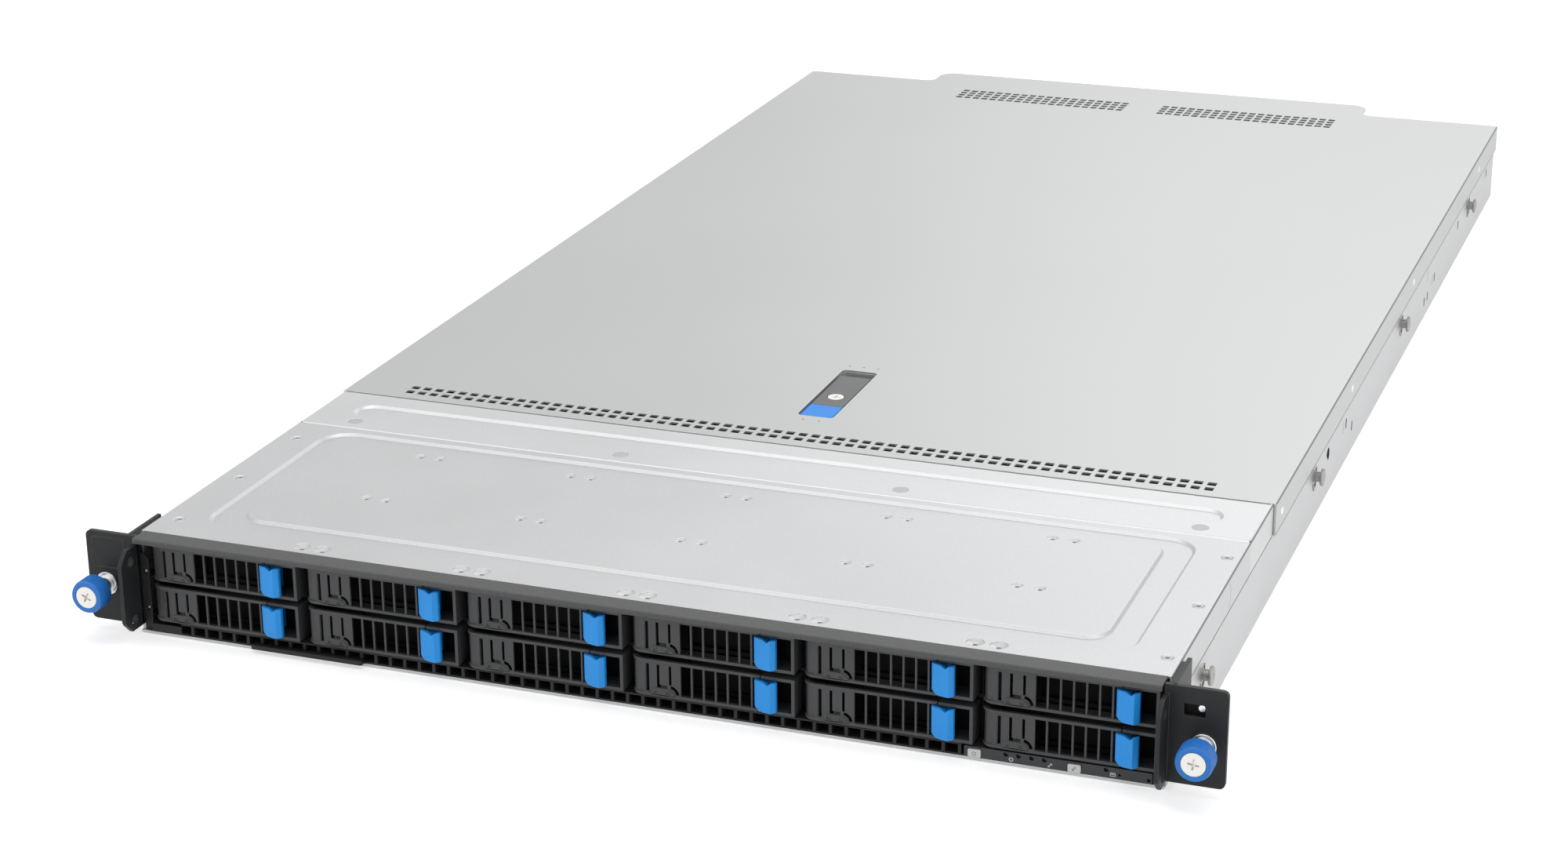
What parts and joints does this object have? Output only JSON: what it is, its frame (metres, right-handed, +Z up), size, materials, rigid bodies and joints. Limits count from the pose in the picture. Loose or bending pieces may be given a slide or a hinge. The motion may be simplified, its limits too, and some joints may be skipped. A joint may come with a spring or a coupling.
{
  "type": "1u rack server",
  "caption": "Flat rack-mount server with rows of lever-latched drive trays, captive ear screws, sliding vented lid and pull-out power supplies.",
  "frame": {"origin": "middle of the bounding box at its underside", "axes": "+X to the right seen from the front, +Y to the rear, +Z up; the front face looks along -Y"},
  "size_m": [0.4826, 0.8802, 0.044],
  "materials": {
    "galvanised_steel": "satin galvanised sheet",
    "lid_steel": "fine satin galvanised sheet",
    "black_sheet": "black coated sheet",
    "ear_black": "fine textured black coat",
    "black_plastic": "moulded black",
    "tray_charcoal": "moulded charcoal",
    "latch_blue": "moulded blue",
    "knob_blue": "moulded blue over steel",
    "latch_grey": "moulded dark grey",
    "bright_steel": "nickel plated",
    "button_white": "moulded white",
    "circuit_board": "green solder mask",
    "fin_aluminium": "bare aluminium",
    "fan_plastic": "moulded black",
    "port_steel": "plated shells",
    "supply_case": "satin sheet case"
  },
  "bodies": {
    "root": {"chassis_pan": "galvanised_steel", "drive_cage": "black_sheet", "front_bezel": "black_plastic", "drive_bay_cover": "galvanised_steel", "bridge_cover": "galvanised_steel", "ear_left": "ear_black", "ear_right": "ear_black", "pressed_studs": "bright_steel", "control_panel": "black_plastic", "circuit_boards": "circuit_board", "heat_sinks": "fin_aluminium", "fan_modules": "fan_plastic", "rear_ports": "port_steel"},
    "lid": {"top_lid": "lid_steel", "lid_latch_pan": "galvanised_steel"},
    "lid_lever": {"lid_latch_lever": "latch_grey"},
    "lid_lock": {"lid_lock_screw": "bright_steel"},
    "thumbscrew_left": {"thumbscrew_left": "knob_blue"},
    "thumbscrew_right": {"thumbscrew_right": "knob_blue"},
    "power_button": {"power_button": "button_white"},
    "locate_button": {"locate_button": "button_white"},
    "pull_tag": {"pull_tag": "black_plastic"},
    "power_supply_1": {"power_supply_1": "supply_case"},
    "power_supply_2": {"power_supply_2": "supply_case"},
    "tray_01": {"drive_tray_01": "tray_charcoal"},
    "lever_01": {"tray_lever_01": "tray_charcoal"},
    "latch_01": {"tray_latch_01": "latch_blue"},
    "tray_02": {"drive_tray_02": "tray_charcoal"},
    "lever_02": {"tray_lever_02": "tray_charcoal"},
    "latch_02": {"tray_latch_02": "latch_blue"},
    "tray_03": {"drive_tray_03": "tray_charcoal"},
    "lever_03": {"tray_lever_03": "tray_charcoal"},
    "latch_03": {"tray_latch_03": "latch_blue"},
    "tray_04": {"drive_tray_04": "tray_charcoal"},
    "lever_04": {"tray_lever_04": "tray_charcoal"},
    "latch_04": {"tray_latch_04": "latch_blue"},
    "tray_05": {"drive_tray_05": "tray_charcoal"},
    "lever_05": {"tray_lever_05": "tray_charcoal"},
    "latch_05": {"tray_latch_05": "latch_blue"},
    "tray_06": {"drive_tray_06": "tray_charcoal"},
    "lever_06": {"tray_lever_06": "tray_charcoal"},
    "latch_06": {"tray_latch_06": "latch_blue"},
    "tray_07": {"drive_tray_07": "tray_charcoal"},
    "lever_07": {"tray_lever_07": "tray_charcoal"},
    "latch_07": {"tray_latch_07": "latch_blue"},
    "tray_08": {"drive_tray_08": "tray_charcoal"},
    "lever_08": {"tray_lever_08": "tray_charcoal"},
    "latch_08": {"tray_latch_08": "latch_blue"},
    "tray_09": {"drive_tray_09": "tray_charcoal"},
    "lever_09": {"tray_lever_09": "tray_charcoal"},
    "latch_09": {"tray_latch_09": "latch_blue"},
    "tray_10": {"drive_tray_10": "tray_charcoal"},
    "lever_10": {"tray_lever_10": "tray_charcoal"},
    "latch_10": {"tray_latch_10": "latch_blue"},
    "tray_11": {"drive_tray_11": "tray_charcoal"},
    "lever_11": {"tray_lever_11": "tray_charcoal"},
    "latch_11": {"tray_latch_11": "latch_blue"},
    "tray_12": {"drive_tray_12": "tray_charcoal"},
    "lever_12": {"tray_lever_12": "tray_charcoal"},
    "latch_12": {"tray_latch_12": "latch_blue"}
  },
  "joints": [
    {"name": "lid_slide", "type": "slide", "parent": "root", "child": "lid", "axis": [0, 1, 0], "range_m": [0, 0.012]},
    {"name": "lid_lever_lift", "type": "hinge", "parent": "lid", "child": "lid_lever", "pos_m": [0, -0.1431, 0.0402], "axis": [-1, 0, 0], "range_deg": [0, 75]},
    {"name": "lid_lock_turn", "type": "hinge", "parent": "lid_lever", "child": "lid_lock", "pos_m": [0, -0.1676, 0.042], "axis": [0, 0, -1], "range_deg": [0, 90]},
    {"name": "thumbscrew_left_turn", "type": "hinge", "parent": "root", "child": "thumbscrew_left", "pos_m": [-0.23255, -0.4231, 0.0208], "axis": [0, 1, 0], "continuous": true},
    {"name": "thumbscrew_right_turn", "type": "hinge", "parent": "root", "child": "thumbscrew_right", "pos_m": [0.23255, -0.4231, 0.0208], "axis": [0, 1, 0], "continuous": true},
    {"name": "power_button_press", "type": "slide", "parent": "root", "child": "power_button", "axis": [0, 1, 0], "range_m": [0, 0.0008], "stiffness_N_per_m": 800},
    {"name": "locate_button_press", "type": "slide", "parent": "root", "child": "locate_button", "axis": [0, 1, 0], "range_m": [0, 0.0008], "stiffness_N_per_m": 800},
    {"name": "pull_tag_slide", "type": "slide", "parent": "root", "child": "pull_tag", "axis": [0, -1, 0], "range_m": [0, 0.045]},
    {"name": "power_supply_1_slide", "type": "slide", "parent": "root", "child": "power_supply_1", "axis": [0, 1, 0], "range_m": [0, 0.17]},
    {"name": "power_supply_2_slide", "type": "slide", "parent": "root", "child": "power_supply_2", "axis": [0, 1, 0], "range_m": [0, 0.17]},
    {"name": "tray_01_slide", "type": "slide", "parent": "root", "child": "tray_01", "axis": [0, -1, 0], "range_m": [0, 0.11]},
    {"name": "lever_01_swing", "type": "hinge", "parent": "tray_01", "child": "lever_01", "pos_m": [-0.20697, -0.4176, 0.01465], "axis": [0, 0, -1], "range_deg": [0, 60]},
    {"name": "latch_01_slide", "type": "slide", "parent": "tray_01", "child": "latch_01", "axis": [1, 0, 0], "range_m": [0, 0.0035], "stiffness_N_per_m": 300},
    {"name": "tray_02_slide", "type": "slide", "parent": "root", "child": "tray_02", "axis": [0, -1, 0], "range_m": [0, 0.11]},
    {"name": "lever_02_swing", "type": "hinge", "parent": "tray_02", "child": "lever_02", "pos_m": [-0.13517, -0.4176, 0.01465], "axis": [0, 0, -1], "range_deg": [0, 60]},
    {"name": "latch_02_slide", "type": "slide", "parent": "tray_02", "child": "latch_02", "axis": [1, 0, 0], "range_m": [0, 0.0035], "stiffness_N_per_m": 300},
    {"name": "tray_03_slide", "type": "slide", "parent": "root", "child": "tray_03", "axis": [0, -1, 0], "range_m": [0, 0.11]},
    {"name": "lever_03_swing", "type": "hinge", "parent": "tray_03", "child": "lever_03", "pos_m": [-0.06337, -0.4176, 0.01465], "axis": [0, 0, -1], "range_deg": [0, 60]},
    {"name": "latch_03_slide", "type": "slide", "parent": "tray_03", "child": "latch_03", "axis": [1, 0, 0], "range_m": [0, 0.0035], "stiffness_N_per_m": 300},
    {"name": "tray_04_slide", "type": "slide", "parent": "root", "child": "tray_04", "axis": [0, -1, 0], "range_m": [0, 0.11]},
    {"name": "lever_04_swing", "type": "hinge", "parent": "tray_04", "child": "lever_04", "pos_m": [0.00843, -0.4176, 0.01465], "axis": [0, 0, -1], "range_deg": [0, 60]},
    {"name": "latch_04_slide", "type": "slide", "parent": "tray_04", "child": "latch_04", "axis": [1, 0, 0], "range_m": [0, 0.0035], "stiffness_N_per_m": 300},
    {"name": "tray_05_slide", "type": "slide", "parent": "root", "child": "tray_05", "axis": [0, -1, 0], "range_m": [0, 0.11]},
    {"name": "lever_05_swing", "type": "hinge", "parent": "tray_05", "child": "lever_05", "pos_m": [0.08024, -0.4176, 0.01465], "axis": [0, 0, -1], "range_deg": [0, 60]},
    {"name": "latch_05_slide", "type": "slide", "parent": "tray_05", "child": "latch_05", "axis": [1, 0, 0], "range_m": [0, 0.0035], "stiffness_N_per_m": 300},
    {"name": "tray_06_slide", "type": "slide", "parent": "root", "child": "tray_06", "axis": [0, -1, 0], "range_m": [0, 0.11]},
    {"name": "lever_06_swing", "type": "hinge", "parent": "tray_06", "child": "lever_06", "pos_m": [0.15204, -0.4176, 0.01465], "axis": [0, 0, -1], "range_deg": [0, 60]},
    {"name": "latch_06_slide", "type": "slide", "parent": "tray_06", "child": "latch_06", "axis": [1, 0, 0], "range_m": [0, 0.0035], "stiffness_N_per_m": 300},
    {"name": "tray_07_slide", "type": "slide", "parent": "root", "child": "tray_07", "axis": [0, -1, 0], "range_m": [0, 0.11]},
    {"name": "lever_07_swing", "type": "hinge", "parent": "tray_07", "child": "lever_07", "pos_m": [-0.20697, -0.4176, 0.03275], "axis": [0, 0, -1], "range_deg": [0, 60]},
    {"name": "latch_07_slide", "type": "slide", "parent": "tray_07", "child": "latch_07", "axis": [1, 0, 0], "range_m": [0, 0.0035], "stiffness_N_per_m": 300},
    {"name": "tray_08_slide", "type": "slide", "parent": "root", "child": "tray_08", "axis": [0, -1, 0], "range_m": [0, 0.11]},
    {"name": "lever_08_swing", "type": "hinge", "parent": "tray_08", "child": "lever_08", "pos_m": [-0.13517, -0.4176, 0.03275], "axis": [0, 0, -1], "range_deg": [0, 60]},
    {"name": "latch_08_slide", "type": "slide", "parent": "tray_08", "child": "latch_08", "axis": [1, 0, 0], "range_m": [0, 0.0035], "stiffness_N_per_m": 300},
    {"name": "tray_09_slide", "type": "slide", "parent": "root", "child": "tray_09", "axis": [0, -1, 0], "range_m": [0, 0.11]},
    {"name": "lever_09_swing", "type": "hinge", "parent": "tray_09", "child": "lever_09", "pos_m": [-0.06337, -0.4176, 0.03275], "axis": [0, 0, -1], "range_deg": [0, 60]},
    {"name": "latch_09_slide", "type": "slide", "parent": "tray_09", "child": "latch_09", "axis": [1, 0, 0], "range_m": [0, 0.0035], "stiffness_N_per_m": 300},
    {"name": "tray_10_slide", "type": "slide", "parent": "root", "child": "tray_10", "axis": [0, -1, 0], "range_m": [0, 0.11]},
    {"name": "lever_10_swing", "type": "hinge", "parent": "tray_10", "child": "lever_10", "pos_m": [0.00843, -0.4176, 0.03275], "axis": [0, 0, -1], "range_deg": [0, 60]},
    {"name": "latch_10_slide", "type": "slide", "parent": "tray_10", "child": "latch_10", "axis": [1, 0, 0], "range_m": [0, 0.0035], "stiffness_N_per_m": 300},
    {"name": "tray_11_slide", "type": "slide", "parent": "root", "child": "tray_11", "axis": [0, -1, 0], "range_m": [0, 0.11]},
    {"name": "lever_11_swing", "type": "hinge", "parent": "tray_11", "child": "lever_11", "pos_m": [0.08024, -0.4176, 0.03275], "axis": [0, 0, -1], "range_deg": [0, 60]},
    {"name": "latch_11_slide", "type": "slide", "parent": "tray_11", "child": "latch_11", "axis": [1, 0, 0], "range_m": [0, 0.0035], "stiffness_N_per_m": 300},
    {"name": "tray_12_slide", "type": "slide", "parent": "root", "child": "tray_12", "axis": [0, -1, 0], "range_m": [0, 0.11]},
    {"name": "lever_12_swing", "type": "hinge", "parent": "tray_12", "child": "lever_12", "pos_m": [0.15204, -0.4176, 0.03275], "axis": [0, 0, -1], "range_deg": [0, 60]},
    {"name": "latch_12_slide", "type": "slide", "parent": "tray_12", "child": "latch_12", "axis": [1, 0, 0], "range_m": [0, 0.0035], "stiffness_N_per_m": 300}
  ],
  "couplings": [
    {"joint": "lid_lever_lift", "follows": "lid_slide", "rad_per_m": 109.08}
  ]
}
